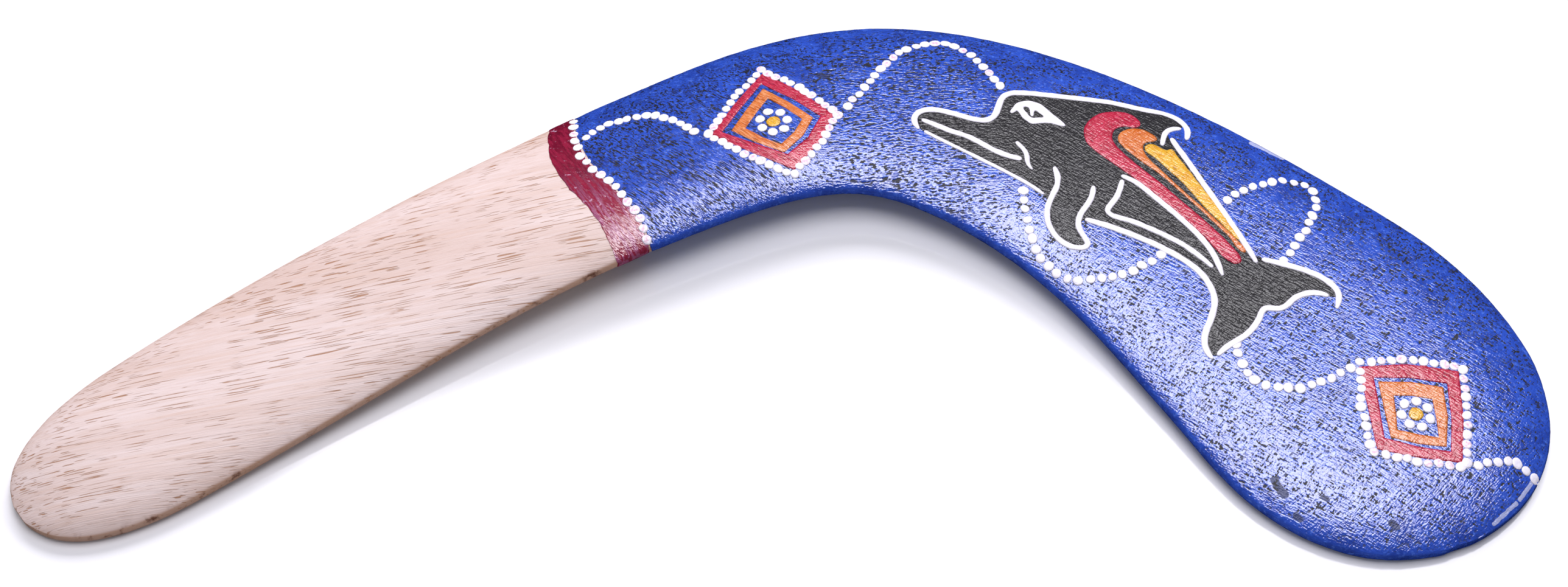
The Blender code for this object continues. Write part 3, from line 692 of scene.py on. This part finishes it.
# level is how far a film lies above the ground at its edge, and thickness what it adds inside that
fills = {
    "smoothing": 1, "spread": 0.22 * mm, "wobble": 0.12 * mm, "wobbleLength": 1.8 * mm, "step": 0.75 * mm,
    "edge": 0.35 * mm, "thickness": 0.07 * mm, "level": 0.03 * mm, "drag": 0.3,
    "pieces": {
        "dolphin_body": ("black_fill", blackAcrylic, "black_paint"),
    },
}
frames = {
    **fills, "smoothing": 0,
    "pieces": {
        f"{place}_diamond_{hue}_frame": (f"{place}_{hue}_frame", acrylic, f"{hue}_paint")
        for place in ("elbow", "blade")
        for hue, acrylic in (("red", redAcrylic), ("orange", orangeAcrylic))
    },
}
stripes = {
    **fills, "spread": 0.2 * mm, "level": 0.11 * mm, "thickness": 0.09 * mm,
    "pieces": {
        "dolphin_red_stripe": ("red_flash", redAcrylic, "red_paint"),
        "dolphin_orange_stripe": ("orange_flash", orangeAcrylic, "orange_paint"),
        "dolphin_yellow_stripe": ("yellow_flash", yellowAcrylic, "yellow_paint"),
    },
}
brushLines = {
    "smoothing": 2, "spread": 0.27 * mm, "wobble": 0.12 * mm, "wobbleLength": 2.4 * mm, "step": 0.5 * mm,
    "edge": 0.35 * mm, "thickness": 0.14 * mm, "level": 0.1 * mm, "drag": 0.25,
    "pieces": {
        f"dolphin_{part}_line": (f"white_{part}_line", whiteAcrylic, "white_paint")
        for part in ("head", "fin", "back", "jaw", "mouth", "cheek", "flipper", "belly", "fluke",
                     "tail", "panel", "side")
    },
}
eye = {**brushLines, "spread": 0.12 * mm, "smoothing": 1, "step": 0.4 * mm, "edge": 0.4 * mm,
       "pieces": {"dolphin_eye": ("white_eye", whiteAcrylic, "white_paint")}}
for film in (fills, frames, stripes, brushLines, eye):
    for node, (name, material, slot) in film["pieces"].items():
        finishPiece(layFilm(node, film), name, material, [node])

dots = {
    "radius": 1.4 * mm, "height": 0.18 * mm, "uneven": 0.13,
    "rows": ("band", "wave", "elbow_diamond", "arch", "belly_loop", "back_loop", "tail_loop",
             "blade_diamond", "rim"),
    # chance that the wet red below came up through a dot
    "stains": {"band": 0.35, "elbow_diamond": 0.35, "arch": 0.3, "blade_diamond": 0.35},
}
rosettes = {"centre": 2.0 * mm, "petal": 1.45 * mm, "height": 0.22 * mm, "petals": 7}

for row in dots["rows"]:
    chance = random.Random(row)
    bm = dotBmesh()
    for centre in dotCentres(row + "_dots"):
        radius = dots["radius"] * (1 + chance.uniform(-1, 1) * dots["uneven"])
        addDot(bm, centre, radius, dots["height"], chance, chance.random() < dots["stains"].get(row, 0))
    finishPiece(bm, f"white_{row}_dots", whiteAcrylic, [row + "_dots"])

for rosette in ("elbow_rosette", "blade_rosette"):
    chance = random.Random(rosette)
    for part in ("centre", *(f"petal_{i + 1}" for i in range(rosettes["petals"]))):
        node = f"{rosette}_{part}"
        low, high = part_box(node)
        yellow = part == "centre"
        bm = dotBmesh()
        radius = rosettes["centre" if yellow else "petal"]
        addDot(bm, (Vector(low) + Vector(high)) / 2, radius, rosettes["height"], chance)
        finishPiece(bm, f"painted_{node}", yellowAcrylic if yellow else whiteAcrylic,
                    [node])

strayPaint = {
    "height": 0.15 * mm,
    # where the red dripped on the blade diamond, and the size of each spot, in millimetres
    "spots": ((167.0, -32.7, 2.0), (161.0, -31.4, 0.8), (153.2, -54.0, 1.1)),
}
chance = random.Random("stray")
bm = dotBmesh()
for x, y, radius in strayPaint["spots"]:
    addDot(bm, Vector((x * mm, y * mm, 0)), radius * mm, strayPaint["height"], chance)
finishPiece(bm, "stray_red_spots", redAcrylic, [])
print("paint laid on")

studio = {
    "floorSize": 6.0, "floorDrop": 0.2 * mm, "floorColour": "#f1f1f3",
    "worldColour": "#f3f4ff", "worldStrength": 0.34,
    "distance": 1.25, "lampColour": "#fbf9ff",
    # width, depth, metres to the right, degrees behind the vertical and watts of each softbox, and
    # whether it lights and whether it glints
    "softboxes": {"glossPanel": (1.05, 0.76, 0.16, 12, 24, False, True),
                  "topFill": (0.9, 0.8, 0, 5, 9.5, True, False),
                  "key": (1.0, 0.4, 0, 50, 15, True, False)},
}
view = {"target": Vector((-0.4, -6.7, 6.0)) * mm, "elevation": 58, "distance": 733 * mm,
        "lens": 62.9, "sensor": 36}

bm = bmesh.new()
bmesh.ops.create_grid(bm, x_segments=1, y_segments=1, size=studio["floorSize"] / 2)
floorMesh = bpy.data.meshes.new("floor")
bm.to_mesh(floorMesh)
bm.free()
floor = bpy.data.objects.new("floor", floorMesh)
bpy.context.scene.collection.objects.link(floor)
floor.location.z = -studio["floorDrop"]
# a cast acrylic sheet: white, with a soft mirror of what stands on it
acrylicSheet, shader = newMaterial("glossy white acrylic sheet")
shader.inputs["Base Color"].default_value = linear(studio["floorColour"])
shader.inputs["Roughness"].default_value = 0.12
floorMesh.materials.append(acrylicSheet)
floor.visible_glossy = False        # a pale mirrored floor would wash out the edges of the paint

world = bpy.data.worlds.new("studio")
world.use_nodes = True
world.node_tree.nodes["Background"].inputs["Color"].default_value = linear(studio["worldColour"])
world.node_tree.nodes["Background"].inputs["Strength"].default_value = studio["worldStrength"]
bpy.context.scene.world = world
world.cycles_visibility.glossy = False

for name, (width, depth, side, degrees, power, lights, glints) in studio["softboxes"].items():
    lamp = bpy.data.lights.new(name, "AREA")
    lamp.shape = "RECTANGLE"
    lamp.size, lamp.size_y = width, depth
    lamp.energy = power
    lamp.color = linear(studio["lampColour"])[:3]
    softbox = bpy.data.objects.new(name, lamp)
    softbox.visible_diffuse = lights
    softbox.visible_glossy = glints
    behind = math.radians(degrees)
    softbox.location = Vector((0, math.sin(behind), math.cos(behind))) * studio["distance"]
    softbox.location.x = side
    softbox.rotation_euler = (-behind, 0, 0)
    bpy.context.scene.collection.objects.link(softbox)

lensData = bpy.data.cameras.new("camera")
lensData.lens = view["lens"]
lensData.sensor_width = view["sensor"]
lensData.clip_start = 0.01
camera = bpy.data.objects.new("camera", lensData)
tilt = math.radians(view["elevation"])
camera.location = view["target"] + Vector((0, -math.cos(tilt), math.sin(tilt))) * view["distance"]
camera.rotation_euler = (math.pi / 2 - tilt, 0, 0)
bpy.context.scene.collection.objects.link(camera)
bpy.context.scene.camera = camera
bpy.context.scene.view_settings.view_transform = "Standard"
print("studio ready")
